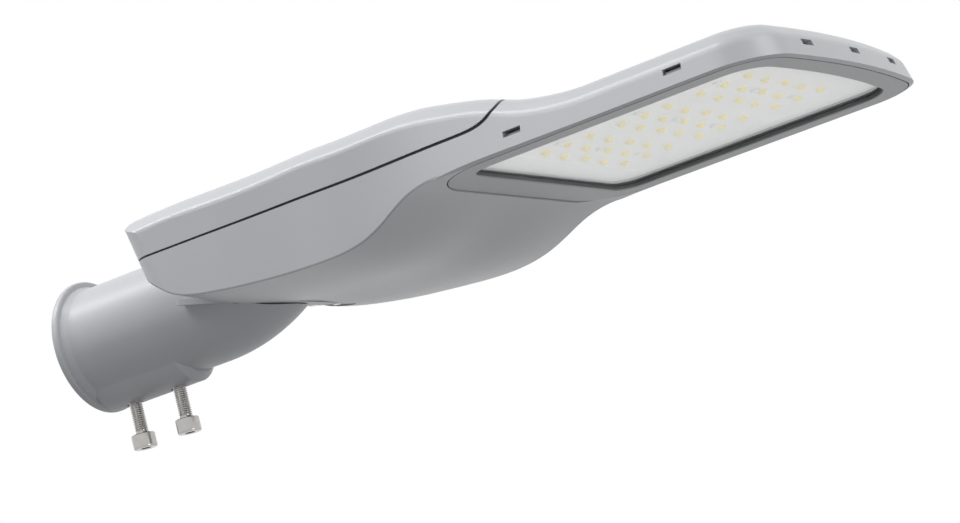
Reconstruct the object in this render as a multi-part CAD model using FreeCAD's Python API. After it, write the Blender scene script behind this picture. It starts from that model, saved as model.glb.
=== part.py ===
"""LED street light with a pole socket, a driver tray and a slim lamp head.

Millimetres. The origin is the centre of the pole socket's mouth, +X runs along the socket
towards the nose of the lamp head, and +Z is up. The window faces down.
"""
import FreeCAD
import Part
import math
import os

V = FreeCAD.Vector
X_AXIS = V(1, 0, 0)
Y_AXIS = V(0, 1, 0)
Z_AXIS = V(0, 0, 1)

# Pole socket
bore_d = 61.0
socket_wall = 3.5
bore_depth = 78.0
stop_step = 4.0
stop_len = 4.0
bead_proud = 5.5
bead_len = 4.2
bead_edge_r = 1.2
bead_back_r = 1.4
bead_flare = 2.2
bead_flare_len = 4.0
bend_start_x = 85.0
bend_inner_r = 87.0
bend_angle = 40.0
pad_r = 22.0
pad_end_x = 70.0
pad_run_out = 4.0
flange_x = (92.0, 155.0)
flange_z = (-3.1, -19.6)
flange_half_w = 44.0
flange_t = 3.2
flange_corner_r = 4.0
spigot_fit = 0.3

# Clamp screws
clamp_d = 8.0
clamp_head_d = 14.0
clamp_head_h = 8.5
clamp_len = 25.0
clamp_x = (18.9, 51.6)
clamp_tip_back = 2.0
clamp_hex_af = 6.0
clamp_sink = 1.6

# Lamp head
rim_z = -3.5
rim_top_z = 17.2
head_half_w = 101.2
head_nose_x = 506.0
nose_bow = 600.0
nose_corner_r = 32.0
shoulder_in = 3.2
shoulder_z = 8.8
shoulder_round = 2.2
rim_round = 10.5
top_round = 5.0
rim_depth = 24.0
rim_bevel_w = 3.2
rim_bevel_h = 1.1
rim_bevel_x = 330.0
rim_bevel_run = 34.0
rim_bevel_fade_r = 120.0
head_ease_x = 396.0
head_start_x = 410.0
deck_t = 3.5
deck_z = 7.9
recess_rim = 17.0
recess_len = 94.0
recess_corner_r = 12.0
fin_t = 2.4
fin_count = 9
fin_pitch = 17.0
fin_end_gap = 8.0
fin_drop = 0.8

# Driver tray and cover
tray_low_z = -30.0
tray_half_w = 95.6
wall = 3.0
rear_x = 97.6
rear_lean = 0.27
rear_lean_z = 39.0
rear_corner_r = 14.0
rear_corner_ease = 0.1
tray_run_x = (110.0, 160.0, 205.0, 245.0)
cover_shoulder_w = 91.5
cover_shoulder_z = 32.0
cover_top_w = 81.5
cover_top_z = 41.0
cover_crown = 2.6
flat_crown = 0.01
belly_bilge = 32.0
cavity_front_x = 372.0
divider_x = 291.0

# Seam between cover and tray
seam_rear_z = 16.8
seam_front_z = 13.4
seam_turn_x = 323.0
seam_pull = (V(15.0, 0, -0.2), V(19.5, 0, 2.2))
seam_rise = V(24.5, 0, 8.4)
seam_steep = V(19.0, 0, 30.0)
seam_gap_rear = 0.9
seam_gap_front = 1.8
gasket_in = 1.0
gasket_w = 2.0

# Lens frame, glass and seal
frame_rear_x = 296.0
frame_gap = 0.7
frame_edge = 3.6
frame_t = 1.6
frame_rear_r = 37.0
window_rear_x = 316.0
window_side = 16.7
window_end = 16.0
window_rear_r = 13.0
window_nose_r = 20.0
window_bevel = 0.4
glass_t = 4.0
glass_lap = 4.0
seal_t = 0.6
seal_wrap = 1.3
seal_lip = 0.6
seal_back = 0.7
pocket_in = 7.8
rib_in = 0.2
rib_t = 2.4
pocket_corner_r = 22.0

# Frame clips and the slots they snap into
slot_w = 10.4
slot_h = 3.3
slot_z = 5.5
slot_rear_off = 59.3
slot_nose_off = 57.3
slot_corner_off = 49.2
clip_t = 1.5
clip_gap = 0.3
clip_nose = 3.4

# Boards and light sources
board_count = 3
board_t = 1.6
board_gap = 0.25
board_side = 10.2
led_size = 5.4
led_t = 0.4
dome_r = 2.6
dome_h = 2.0
led_gap_share = 1.41
led_rear_off = 25.35
led_nose_off = 27.35
led_side_off = 41.2
led_rows = 5
led_cols = 3
led_row_shift = -1.1
reflector_t = 0.8
reflector_lap = 1.5
board_screw_d = 3.0
board_screw_head_d = 5.0
board_screw_head_h = 1.6
board_screw_off = 8.0
board_screw_roof = 0.8

# Driver and its neighbours in the tray
driver_size = V(100.0, 62.0, 32.0)
driver_mid = V(217.0, -34.0, 0.0)
driver_seat_z = -6.0
driver_tab_len = 12.0
driver_tab_t = 3.0
driver_edge_r = 3.0
terminal_size = V(24.0, 36.0, 19.0)
terminal_mid = V(176.0, 48.0, 0.0)
terminal_seat_z = -8.0
terminal_ear = 12.0
terminal_ear_t = 4.0
terminal_wire_r = 2.2
terminal_wire_z = 7.0
terminal_screw_r = 2.5
terminal_screw_h = 4.0
terminal_well = 8.0
terminal_poles = 3
surge_size = V(52.0, 32.0, 24.0)
surge_mid = V(233.0, 48.0, 0.0)
surge_tab_len = 9.0
surge_tab_t = 2.5
surge_seat_z = -13.0
boss_r = 5.0
screw_d = 4.0
screw_head_d = 7.5
screw_head_h = 3.0
screw_bite = 4.2
head_chamfer_share = 0.12
socket_floor_share = 0.45
screw_fit = 0.05
screw_loose = 0.2

# Spigot bolts
bolt_d = 6.0
bolt_head_d = 10.0
bolt_head_h = 6.0
bolt_hex_af = 5.0
bolt_x = (130.0, 146.0)
bolt_y = 37.5
bolt_boss_r = 7.0
bolt_boss_h = 7.5
washer_d = 12.0
washer_t = 1.2

# Cover screws
cover_screw_x = (128.0, 300.0)
cover_screw_y = 68.0
cover_screw_d = 5.0
cover_screw_head_d = 9.0
cover_screw_head_h = 5.0
cover_screw_len = 12.0
cover_seat_z = 18.0
cover_pillar_r = 6.5
cover_well_gap = 0.6
cover_floor = 3.0

# Cable gland in the rear wall
gland_z = 5.4
gland_d = 16.0
gland_af = 18.0
gland_body_len = 9.0
gland_dome_len = 6.0
gland_cable_d = 8.0
gland_nut_t = 4.0
gland_seat_x = (100.5, 127.5)
gland_seat_r = 10.4

# Leads, grommet, vent and earth screw
lead_d = 5.0
core_d = 1.5
lead_turn_x = 156.0
lead_pole = 1
grommet_x = 322.5
grommet_hole_r = 4.5
grommet_lip = 2.0
grommet_lip_t = 1.2
vent_at = V(322.5, 48.0, 0.0)
vent_r = 6.0
vent_head_r = 9.0
vent_head_h = 4.0
earth_at = V(132.0, -53.0, 0.0)
earth_seat_z = 1.0

# How far cutting forms and blanks reach beyond the body
tool_x = 600.0
tool_half_w = 140.0
tool_z = 90.0
rear_tool_z = 70.0
rear_run = 60.0
rear_step = 10.0
loft_reach = 30.0
seam_reach = 60.0

# Values worked out from the sizes above
bore_r = bore_d / 2
tube_r = bore_r + socket_wall
bead_r = tube_r + bead_proud
deck_top_z = deck_z + deck_t
frame_half_w = head_half_w - frame_edge
frame_nose_x = head_nose_x - frame_edge
frame_top_z = rim_z + frame_t
glass_z = frame_top_z + seal_t
board_z = deck_z - board_t
window_half_w = head_half_w - window_side
window_nose_x = head_nose_x - window_end
recess_rear_x = head_nose_x - recess_len
slot_x = (frame_rear_x + slot_rear_off, head_nose_x - slot_nose_off)
slot_y = (slot_corner_off - head_half_w, 0.0, head_half_w - slot_corner_off)
led_start_x = window_rear_x + led_rear_off
led_end_x = window_nose_x - led_nose_off
led_steps = board_count * (led_cols - 1) + (board_count - 1) * led_gap_share
led_pitch_x = (led_end_x - led_start_x) / led_steps
led_pitch_y = 2 * (window_half_w - led_side_off) / (led_rows - 1)
leds_mid_x = (led_start_x + led_end_x) / 2
group_pitch = (led_cols - 1 + led_gap_share) * led_pitch_x
pocket_half_w = head_half_w - pocket_in
pocket_nose_x = head_nose_x - pocket_in
pocket_rear_x = frame_rear_x + pocket_in
side_slope = shoulder_in / (shoulder_z - rim_z)
tray_slope = (tray_half_w - cover_shoulder_w) / (cover_shoulder_z - tray_low_z)
dome_ball_r = (dome_r ** 2 + dome_h ** 2) / (2 * dome_h)


def box(x0, x1, y0, y1, z0, z1):
    return Part.makeBox(x1 - x0, y1 - y0, z1 - z0, V(x0, y0, z0))


def cylinder(radius, start, end):
    return Part.makeCylinder(radius, (end - start).Length, start, end - start)


def prism(points, direction):
    """Solid from a closed polygon pushed along a direction."""
    return Part.Face(Part.makePolygon(points + points[:1])).extrude(direction)


def hexagon(across_flats, start, end):
    """Hexagonal bar between two points on one axis."""
    along = (end - start).normalize()
    side = X_AXIS if abs(along.x) < 0.5 else Y_AXIS
    other = along.cross(side)
    radius = across_flats / math.sqrt(3)
    corners = []
    for step in range(6):
        angle = step * math.pi / 3
        corners.append(start + side * (radius * math.cos(angle)) + other * (radius * math.sin(angle)))
    return prism(corners, end - start)


def fuse(first, others):
    return first.multiFuse(others).removeSplitter()


def save(name, shape):
    """Write one node, after a check that its solids are sound."""
    if not shape.isValid() or not shape.Solids:
        raise ValueError(name + " is not a sound solid")
    shape.exportStep("parts/" + name + ".step")
    print(name, len(shape.Solids), round(shape.Volume))


def plan_points(half_w, nose_x, corner_r, z):
    """Points of the bowed nose: side end, corner middle, bow end and tip, on the +Y side."""
    bow = nose_bow - (head_nose_x - nose_x)
    bow_x = nose_x - bow
    corner_y = half_w - corner_r
    corner_x = bow_x + math.sqrt((bow - corner_r) ** 2 - corner_y ** 2)
    end_angle = math.atan2(corner_y, corner_x - bow_x)
    mid_angle = (end_angle + math.pi / 2) / 2
    side_end = V(corner_x, half_w, z)
    corner_mid = V(corner_x + corner_r * math.cos(mid_angle), corner_y + corner_r * math.sin(mid_angle), z)
    bow_end = V(bow_x + bow * math.cos(end_angle), bow * math.sin(end_angle), z)
    return side_end, corner_mid, bow_end, V(nose_x, 0, z)


def flip(point):
    return V(point.x, -point.y, point.z)


def nose_edges(start_x, half_w, nose_x, corner_r, z):
    """Edges from the -Y side at start_x, round the nose, back to start_x on the +Y side."""
    side_end, corner_mid, bow_end, tip = plan_points(half_w, nose_x, corner_r, z)
    start = V(start_x, half_w, z)
    return [
        Part.makeLine(flip(start), flip(side_end)),
        Part.Arc(flip(side_end), flip(corner_mid), flip(bow_end)).toShape(),
        Part.Arc(flip(bow_end), tip, bow_end).toShape(),
        Part.Arc(bow_end, corner_mid, side_end).toShape(),
        Part.makeLine(side_end, start),
    ]


def plan_wire(rear, half_w, nose_x, rear_r, corner_r, z):
    """Closed head outline with a straight rear, round rear corners and a bowed nose."""
    turn = rear_r * (1 - math.sqrt(0.5))
    side_rear = V(rear + rear_r, half_w, z)
    corner_mid = V(rear + turn, half_w - turn, z)
    rear_end = V(rear, half_w - rear_r, z)
    edges = nose_edges(rear + rear_r, half_w, nose_x, corner_r, z)
    edges.append(Part.Arc(side_rear, corner_mid, rear_end).toShape())
    edges.append(Part.makeLine(rear_end, flip(rear_end)))
    edges.append(Part.Arc(flip(rear_end), flip(corner_mid), flip(side_rear)).toShape())
    return Part.Wire(Part.__sortEdges__(edges))


def plan_solid(rear, half_w, nose_x, rear_r, corner_r, z0, z1):
    """Upright solid on a head outline."""
    return Part.Face(plan_wire(rear, half_w, nose_x, rear_r, corner_r, z0)).extrude(V(0, 0, z1 - z0))


def shoulder_poles(low, side, top, inward):
    """Runs of the outer face: leaning wall, tight shoulder, sloping band and soft upper edge."""
    down = (low - side).normalize() * shoulder_round
    up = (top - side).normalize()
    band_start = side + up * shoulder_round
    band_end = top - up * top_round
    return [
        [low, side + down],
        [side + down, side, band_start],
        [band_start, band_end],
        [band_end, top, top + inward * top_round],
    ]


def run_edge(poles):
    """Straight line between two poles, or a curve drawn towards the middle one."""
    if len(poles) == 2:
        return Part.makeLine(poles[0], poles[1])
    curve = Part.BezierCurve()
    curve.setPoles(poles)
    return curve.toShape()


def section(station, inset):
    """Closed cross-section of the shell: flat floor, leaning sides, shoulders and crowned top."""
    x, low_w, side_w, side_z, top_w, top_z, crown = station
    low = V(x, low_w - inset, tray_low_z)
    side = V(x, side_w - inset, side_z)
    top = V(x, top_w - inset / 2, top_z - inset)
    runs = shoulder_poles(low, side, top, -Y_AXIS)
    top_end = runs[-1][-1]
    edges = [Part.makeLine(flip(low), low)]
    edges.extend(run_edge(poles) for poles in runs)
    edges.append(Part.Arc(top_end, V(x, 0, top_end.z + crown), flip(top_end)).toShape())
    for poles in reversed(runs):
        edges.append(run_edge([flip(pole) for pole in reversed(poles)]))
    return Part.Wire(edges)


def stations():
    """Cross-sections from the rear of the tray to the constant head, as rows of sizes."""
    head_low_w = head_half_w + side_slope * (rim_z - tray_low_z)
    head_side_w = head_half_w - shoulder_in
    head_top_w = head_half_w - rim_round
    rows = []
    tray_sizes = (tray_half_w, cover_shoulder_w, cover_shoulder_z, cover_top_w, cover_top_z, cover_crown)
    for x in (rear_x - loft_reach,) + tray_run_x:
        rows.append((x,) + tray_sizes)
    # Share of the way from tray to head: floor width, shoulder width, shoulder height, top height
    waist = (
        (270, 0.20, 0.08, 0.00, 0.00),
        (288, 0.55, 0.20, 0.03, 0.03),
        (306, 0.85, 0.36, 0.14, 0.14),
        (323, 0.97, 0.55, 0.28, 0.30),
        (338, 1.00, 0.72, 0.45, 0.47),
        (350, 1.00, 0.84, 0.64, 0.65),
        (363, 1.00, 0.94, 0.82, 0.82),
        (380, 1.00, 1.00, 0.95, 0.95),
    )
    for x, low_share, width_share, side_share, top_share in waist:
        rows.append((
            x,
            tray_half_w + low_share * (head_low_w - tray_half_w),
            cover_shoulder_w + width_share * (head_side_w - cover_shoulder_w),
            cover_shoulder_z + side_share * (shoulder_z - cover_shoulder_z),
            cover_top_w + width_share * (head_top_w - cover_top_w),
            cover_top_z + top_share * (rim_top_z - cover_top_z),
            cover_crown + top_share * (flat_crown - cover_crown),
        ))
    for x in (head_ease_x, head_start_x):
        rows.append((x, head_low_w, head_side_w, shoulder_z, head_top_w, rim_top_z, flat_crown))
    return rows


def belly_points(inset, crowned):
    """Side view of the rear wall and belly: down the rear, along the keel, up the S to the rim."""
    # Place of the edge, the way it moves when the form is shrunk, and how far the middle hangs below it
    rows = [
        (114.0, 43.9, 0.0, -1.0, 0.0),
        (107.5, 41.2, 0.4, -0.9, 0.0),
        (102.2, 37.4, 0.8, -0.5, 0.0),
        (98.9, 32.0, 1.0, 0.0, 0.0),
        (102.2, 18.5, 1.0, 0.0, 0.0),
        (106.2, 9.5, 1.0, 0.1, 0.0),
        (112.6, 2.6, 0.9, 0.4, 0.3),
        (119.6, -2.8, 0.8, 0.7, 0.9),
        (127.0, -8.2, 0.5, 0.9, 1.8),
        (136.0, -12.1, 0.2, 1.0, 2.6),
        (150.0, -15.2, 0.0, 1.0, 3.0),
        (170.0, -18.0, 0.0, 1.0, 3.0),
        (194.0, -20.4, 0.0, 1.0, 2.8),
        (220.0, -22.2, 0.0, 1.0, 2.8),
        (240.0, -21.7, 0.0, 1.0, 3.2),
        (254.0, -19.2, 0.0, 1.0, 3.6),
        (268.0, -14.0, 0.0, 1.0, 3.8),
        (281.0, -8.0, 0.0, 1.0, 2.4),
        (294.0, -4.2, 0.0, 1.0, 0.4),
        (308.0, rim_z, 0.0, 1.0, 0.0),
    ]
    points = []
    for x, z, in_x, in_z, drop in rows:
        points.append(V(x + inset * in_x, 0, z + inset * in_z - crowned * drop))
    return points


def belly_curve(inset, crowned):
    curve = Part.BSplineCurve()
    curve.interpolate(belly_points(inset, crowned))
    return curve


def belly_z(x):
    """Height of the belly's outer face at x, near the middle."""
    line = Part.Line(V(x, 0, -100), V(x, 0, 100))
    hits = belly_curve(0.0, 1.0).intersectCC(line)
    return min(hit.Z for hit in hits)


def side_wire(inset, crowned, y):
    """Closed side view above the belly line, in the plane at y."""
    curve = belly_curve(inset, crowned).toShape()
    start = curve.Vertexes[0].Point
    end = curve.Vertexes[-1].Point
    front_x = head_start_x + 1
    high = 60.0
    corners = [end, V(front_x, 0, rim_z + inset), V(front_x, 0, high), V(start.x + 30, 0, high), start]
    edges = [curve]
    for first, second in zip(corners, corners[1:]):
        edges.append(Part.makeLine(first, second))
    wire = Part.Wire(Part.__sortEdges__(edges))
    wire.translate(V(0, y, 0))
    return wire


def side_view(inset):
    """Everything above the crowned belly, wider than the body."""
    edge_y = tray_half_w - inset
    flat_y = tray_half_w - belly_bilge
    half = [(flat_y, 1.0), (edge_y, 0.0), (tool_half_w, 0.0)]
    rows = [(-y, crowned) for y, crowned in reversed(half)] + [(0.0, 1.0)] + half
    return Part.makeLoft([side_wire(inset, crowned, y) for y, crowned in rows], True, False)


def rear_outline(inset, z):
    """Level outline of the block in rear_prism, at one height."""
    half_w = tray_half_w - inset - tray_slope * (z - tray_low_z) + rear_corner_ease
    radius = rear_corner_r - inset
    rear = rear_x + inset + rear_lean * (rear_lean_z - z)
    turn = radius * (1 - math.sqrt(0.5))
    corner = [
        V(rear, half_w - radius, z),
        V(rear + turn, half_w - turn, z),
        V(rear + radius, half_w, z),
    ]
    straight = rear + radius + rear_run
    runs = [
        corner[2],
        V(straight, half_w, z),
        V(straight + rear_step, tool_half_w, z),
        V(tool_x, tool_half_w, z),
    ]
    edges = [
        Part.makeLine(flip(corner[0]), corner[0]),
        Part.Arc(corner[0], corner[1], corner[2]).toShape(),
    ]
    for first, second in zip(runs, runs[1:]):
        edges.append(Part.makeLine(first, second))
    edges.append(Part.makeLine(runs[-1], flip(runs[-1])))
    back = list(reversed(runs))
    for first, second in zip(back, back[1:]):
        edges.append(Part.makeLine(flip(first), flip(second)))
    edges.append(Part.Arc(flip(corner[2]), flip(corner[1]), flip(corner[0])).toShape())
    return Part.Wire(edges)


def rear_prism(inset):
    """Block with round rear corners that leans with the rear wall and the sides."""
    return Part.makeLoft([rear_outline(inset, z) for z in (-rear_tool_z, rear_tool_z)], True, True)


def tray_body(inset):
    """Tray, cover and waist as one closed form, shrunk by inset."""
    loft = Part.makeLoft([section(row, inset) for row in stations()], True, False)
    return loft.common(side_view(inset)).common(rear_prism(inset))


def head_profile():
    """Section of the head's rim at head_start_x, on the -Y side."""
    outer = V(head_start_x, -head_half_w, rim_z)
    side = V(head_start_x, -head_half_w + shoulder_in, shoulder_z)
    top = V(head_start_x, -head_half_w + rim_round, rim_top_z)
    inner_top = V(head_start_x, -head_half_w + rim_depth, rim_top_z)
    inner_low = V(head_start_x, -head_half_w + rim_depth, rim_z)
    runs = shoulder_poles(outer, side, top, Y_AXIS)
    runs.extend([[runs[-1][-1], inner_top], [inner_top, inner_low], [inner_low, outer]])
    return Part.Wire([run_edge(poles) for poles in runs])


def head_body():
    """Front of the head: the rim swept round the nose, filled inside."""
    path = Part.Wire(nose_edges(head_start_x, head_half_w, head_nose_x, nose_corner_r, rim_z))
    rim = path.makePipeShell([head_profile()], True, True)
    inner_w = head_half_w - rim_depth
    inner_nose = head_nose_x - rim_depth
    edges = nose_edges(head_start_x, inner_w, inner_nose, nose_corner_r - rim_depth, rim_z)
    edges.append(Part.makeLine(V(head_start_x, inner_w, rim_z), V(head_start_x, -inner_w, rim_z)))
    core = Part.Face(Part.Wire(Part.__sortEdges__(edges))).extrude(V(0, 0, rim_top_z - rim_z))
    return rim.fuse(core)


def rim_bevel():
    """Swept wedge that bevels the lower edge of the head's rim and fades out along the waist."""
    edges = nose_edges(rim_bevel_x, head_half_w, head_nose_x, nose_corner_r, rim_z)
    fade = []
    for share in (0.5, 1.0):
        back = rim_bevel_run * share
        out = rim_bevel_fade_r - math.sqrt(rim_bevel_fade_r ** 2 - back ** 2)
        fade.append(V(rim_bevel_x - back, head_half_w + out, rim_z))
    start = V(rim_bevel_x, head_half_w, rim_z)
    first = Part.Arc(flip(fade[1]), flip(fade[0]), flip(start)).toShape()
    last = Part.Arc(start, fade[0], fade[1]).toShape()
    path = Part.Wire([first] + edges + [last])
    slope = rim_bevel_h / rim_bevel_w
    deep = 3.0
    middle = -head_half_w
    wedge = [
        V(rim_bevel_x, middle + rim_bevel_w + deep, rim_z - slope * deep),
        V(rim_bevel_x, middle - deep, rim_z + rim_bevel_h + slope * deep),
        V(rim_bevel_x, middle - deep, rim_z - deep),
        V(rim_bevel_x, middle + rim_bevel_w + deep, rim_z - deep),
    ]
    swing = math.degrees(math.asin(rim_bevel_run / rim_bevel_fade_r))
    profile = Part.makePolygon(wedge + wedge[:1])
    profile.rotate(V(rim_bevel_x, middle - rim_bevel_fade_r, 0), Z_AXIS, swing)
    return path.makePipeShell([profile], True, True)


def above_seam(raised):
    """Everything above the seam's lower edge, or above its upper edge where raised is 1."""
    rear_gap = raised * seam_gap_rear
    front_gap = raised * seam_gap_front
    start = V(rear_x - seam_reach, 0, seam_rear_z + rear_gap)
    turn = V(seam_turn_x - front_gap * 0.7, 0, seam_front_z + front_gap)
    rise = Part.BezierCurve()
    bend = turn + seam_rise
    rise.setPoles([turn] + [turn + pull for pull in seam_pull] + [bend])
    steep = bend + seam_steep
    corners = [bend, steep, V(steep.x, 0, tool_z), V(start.x, 0, tool_z), start, turn]
    edges = [rise.toShape()]
    for first, second in zip(corners, corners[1:]):
        edges.append(Part.makeLine(first, second))
    face = Part.Face(Part.Wire(Part.__sortEdges__(edges)))
    face.translate(V(0, -tool_half_w, 0))
    return face.extrude(V(0, 2 * tool_half_w, 0))


def grown_plan(grow, z0, z1):
    """Upright solid on the glass outline, grown or shrunk all round."""
    lap = glass_lap + grow
    return plan_solid(window_rear_x - lap, window_half_w + lap, window_nose_x + lap,
                      window_rear_r + lap, window_nose_r + lap, z0, z1)


def slot_boxes(reach_in, reach_out, half_w, z0, z1):
    """One box at each clip place: two on each long side, three on the nose."""
    boxes = []
    for x in slot_x:
        for side in (-1, 1):
            near = side * (pocket_half_w - reach_in)
            far = side * (pocket_half_w + reach_out)
            boxes.append(box(x - half_w, x + half_w, min(near, far), max(near, far), z0, z1))
    for y in slot_y:
        bowed = pocket_nose_x - (abs(y) + half_w) ** 2 / (2 * nose_bow)
        boxes.append(box(bowed - reach_in, bowed + reach_out, y - half_w, y + half_w, z0, z1))
    return boxes


def boss(x, y, radius, top_z, body):
    """Round post that stands on the tray floor."""
    return cylinder(radius, V(x, y, -80), V(x, y, top_z)).common(body)


def tube_along(points, radius, bend_r):
    """Round wire along straight runs joined by tangent arcs."""
    edges = []
    here = points[0]
    for before, corner, after in zip(points, points[1:], points[2:]):
        back = (before - corner).normalize()
        ahead = (after - corner).normalize()
        half_turn = (math.pi - back.getAngle(ahead)) / 2
        reach = bend_r * math.tan(half_turn)
        middle = (back + ahead).normalize()
        arc_mid = corner + middle * (bend_r / math.cos(half_turn) - bend_r)
        edges.append(Part.makeLine(here, corner + back * reach))
        edges.append(Part.Arc(corner + back * reach, arc_mid, corner + ahead * reach).toShape())
        here = corner + ahead * reach
    edges.append(Part.makeLine(here, points[-1]))
    ring = Part.Wire(Part.makeCircle(radius, points[0], points[1] - points[0]))
    return Part.Wire(edges).makePipeShell([ring], True, True)


def screw(at, direction, shank_d, length, head_d, head_h, hex_af):
    """Socket-head screw: the head's seat is at the given point, the shank runs along direction."""
    head = cylinder(head_d / 2, at - direction * head_h, at)
    rim = head.Edges
    head = head.makeChamfer(head_h * head_chamfer_share, [edge for edge in rim if edge.Closed])
    shank = cylinder(shank_d / 2, at, at + direction * length)
    socket_start = at - direction * (head_h + 1)
    socket = hexagon(hex_af, socket_start, at - direction * (head_h * socket_floor_share))
    return head.fuse(shank).cut(socket).removeSplitter()


def tray_posts():
    """Places of the posts that carry the driver, terminal block and surge protector."""
    posts = {}
    reach = driver_size.x / 2 + driver_tab_len / 2
    posts["driver"] = [
        V(driver_mid.x + sx * reach, driver_mid.y + sy * driver_size.y * 0.32, driver_seat_z)
        for sx in (-1, 1) for sy in (-1, 1)
    ]
    posts["terminal"] = [
        V(terminal_mid.x, terminal_mid.y + side * (terminal_size.y / 2 + terminal_ear / 2), terminal_seat_z)
        for side in (-1, 1)
    ]
    reach = surge_size.x / 2 + surge_tab_len / 2
    posts["surge"] = [V(surge_mid.x + side * reach, surge_mid.y, surge_seat_z) for side in (-1, 1)]
    posts["earth"] = [V(earth_at.x, earth_at.y, earth_seat_z)]
    return posts


def cover_screw_places():
    return [V(x, side * cover_screw_y, cover_seat_z) for x in cover_screw_x for side in (-1, 1)]


def bolt_places():
    """Seat points of the spigot bolts, on posts that follow the sloping floor."""
    return [V(x, side * bolt_y, belly_z(x) + wall + bolt_boss_h) for x in bolt_x for side in (-1, 1)]


def drill(radius, place, low, high):
    """Upright drill at a place, between two heights."""
    return cylinder(radius, V(place.x, place.y, low), V(place.x, place.y, high))


def housing_posts(tray):
    """Posts, pillars and the gland's seat that stand inside the tray."""
    added = []
    for group in tray_posts().values():
        for post in group:
            added.append(boss(post.x, post.y, boss_r, post.z, tray))
    for place in cover_screw_places():
        added.append(boss(place.x, place.y, cover_pillar_r, place.z, tray))
    for place in bolt_places():
        added.append(boss(place.x, place.y, bolt_boss_r, place.z, tray))
    added.append(cylinder(gland_seat_r, V(gland_seat_x[0], 0, gland_z), V(gland_seat_x[1], 0, gland_z)))
    return added


def housing_holes():
    """Every hole of the casting: clip slots, screw holes, gland, lead and vent."""
    holes = slot_boxes(2.0, pocket_in + 5, slot_w / 2, slot_z - slot_h / 2, slot_z + slot_h / 2)
    for group in tray_posts().values():
        for post in group:
            holes.append(drill(screw_d / 2 + screw_fit, post, post.z - screw_bite, post.z + 1))
    for place in cover_screw_places():
        deep = cover_screw_len - cover_floor
        holes.append(drill(cover_screw_d / 2 + screw_fit, place, place.z - deep, place.z + 1))
    for place in bolt_places():
        holes.append(drill(bolt_d / 2 + screw_fit, place, place.z - 60, place.z + 1))
    gland_start = V(gland_seat_x[0] - 9, 0, gland_z)
    gland_end = V(gland_seat_x[1] + 1, 0, gland_z)
    holes.append(cylinder(gland_d / 2 + screw_fit, gland_start, gland_end))
    grommet_at = V(grommet_x, driver_mid.y, 0)
    holes.append(drill(grommet_hole_r, grommet_at, deck_z - 1, deck_top_z + 1))
    lip_r = grommet_hole_r + grommet_lip + screw_fit
    holes.append(drill(lip_r, grommet_at, deck_z - 1, deck_z + grommet_lip_t))
    holes.append(drill(vent_r + screw_fit, vent_at, deck_z - 1, deck_top_z + 1))
    for place in board_screw_places():
        holes.append(drill(board_screw_d / 2 + screw_fit, place, board_z, deck_top_z - board_screw_roof))
    return holes


def make_housing(outer, tray, cavity):
    """One casting: tray below the seam, waist and lamp head with its pockets, fins and slots."""
    body = outer.cut(above_seam(0)).cut(cavity)
    bore = bent_tube(bore_r - spigot_fit)
    saddle = make_flange(wall, 0.0).cut(bent_tube(bore_r - wall)).common(tray)
    body = fuse(body, housing_posts(tray) + [saddle])
    body = body.cut(make_flange(spigot_fit, bore_r).cut(bore))
    reach = frame_gap
    body = body.cut(plan_solid(frame_rear_x - reach, frame_half_w + reach, frame_nose_x + reach,
                               frame_rear_r + reach, nose_corner_r - frame_edge + reach,
                               rim_z - 10, frame_top_z))
    body = body.cut(plan_solid(pocket_rear_x, pocket_half_w, pocket_nose_x, pocket_corner_r,
                               nose_corner_r - pocket_in, rim_z - 10, deck_z))
    body = body.cut(rim_bevel())
    body = body.cut(plan_solid(recess_rear_x, head_half_w - recess_rim, head_nose_x - recess_rim,
                               recess_corner_r, nose_corner_r - recess_rim, deck_top_z, rim_top_z + 40))
    added = []
    fin_front = head_nose_x - recess_rim - fin_end_gap
    for index in range(fin_count):
        y = (index - (fin_count - 1) / 2) * fin_pitch
        added.append(box(recess_rear_x + fin_end_gap, fin_front, y - fin_t / 2, y + fin_t / 2,
                         deck_z + deck_t / 2, rim_top_z - fin_drop))
    rib_low = glass_z + glass_t + seal_t
    rib = grown_plan(seal_wrap - rib_in, rib_low, deck_z + 1)
    added.append(rib.cut(grown_plan(seal_wrap - rib_in - rib_t, rib_low - 1, deck_z + 2)))
    return fuse(body, added).cut(Part.makeCompound(housing_holes()))


def make_cover(tray, inner):
    """Thin lid with screw wells that reach down to the tray's pillars."""
    upper = tray.common(above_seam(1))
    body = upper.cut(inner)
    wells = []
    bores = []
    for place in cover_screw_places():
        floor = place + Z_AXIS * cover_floor
        high = place + Z_AXIS * 60
        wells.append(cylinder(cover_screw_head_d / 2 + cover_well_gap + wall * 0.7, place, high).common(tray))
        bores.append(cylinder(cover_screw_head_d / 2 + cover_well_gap, floor, high))
        bores.append(cylinder(cover_screw_d / 2 + screw_loose, place - Z_AXIS, floor + Z_AXIS))
    return fuse(body, wells).cut(Part.makeCompound(bores))


def make_cover_gasket():
    """Flat seal that fills the seam, set back from the outer face."""
    ring = tray_body(gasket_in).cut(tray_body(gasket_in + gasket_w))
    return ring.common(above_seam(0)).cut(above_seam(1))


def bent_tube(radius):
    """Straight round bar from the mouth, then a bend upwards."""
    straight = cylinder(radius, V(0, 0, 0), V(bend_start_x, 0, 0))
    centre = V(bend_start_x, 0, bend_inner_r)
    ring = Part.Face(Part.Wire(Part.makeCircle(radius, V(bend_start_x, 0, 0), X_AXIS)))
    bend = ring.revolve(centre, -Y_AXIS, bend_angle)
    return straight.fuse(bend)


def flange_low_z(x):
    """Height of the flange's lower face at x."""
    share = (x - flange_x[0]) / (flange_x[1] - flange_x[0])
    return flange_z[0] + share * (flange_z[1] - flange_z[0])


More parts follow.
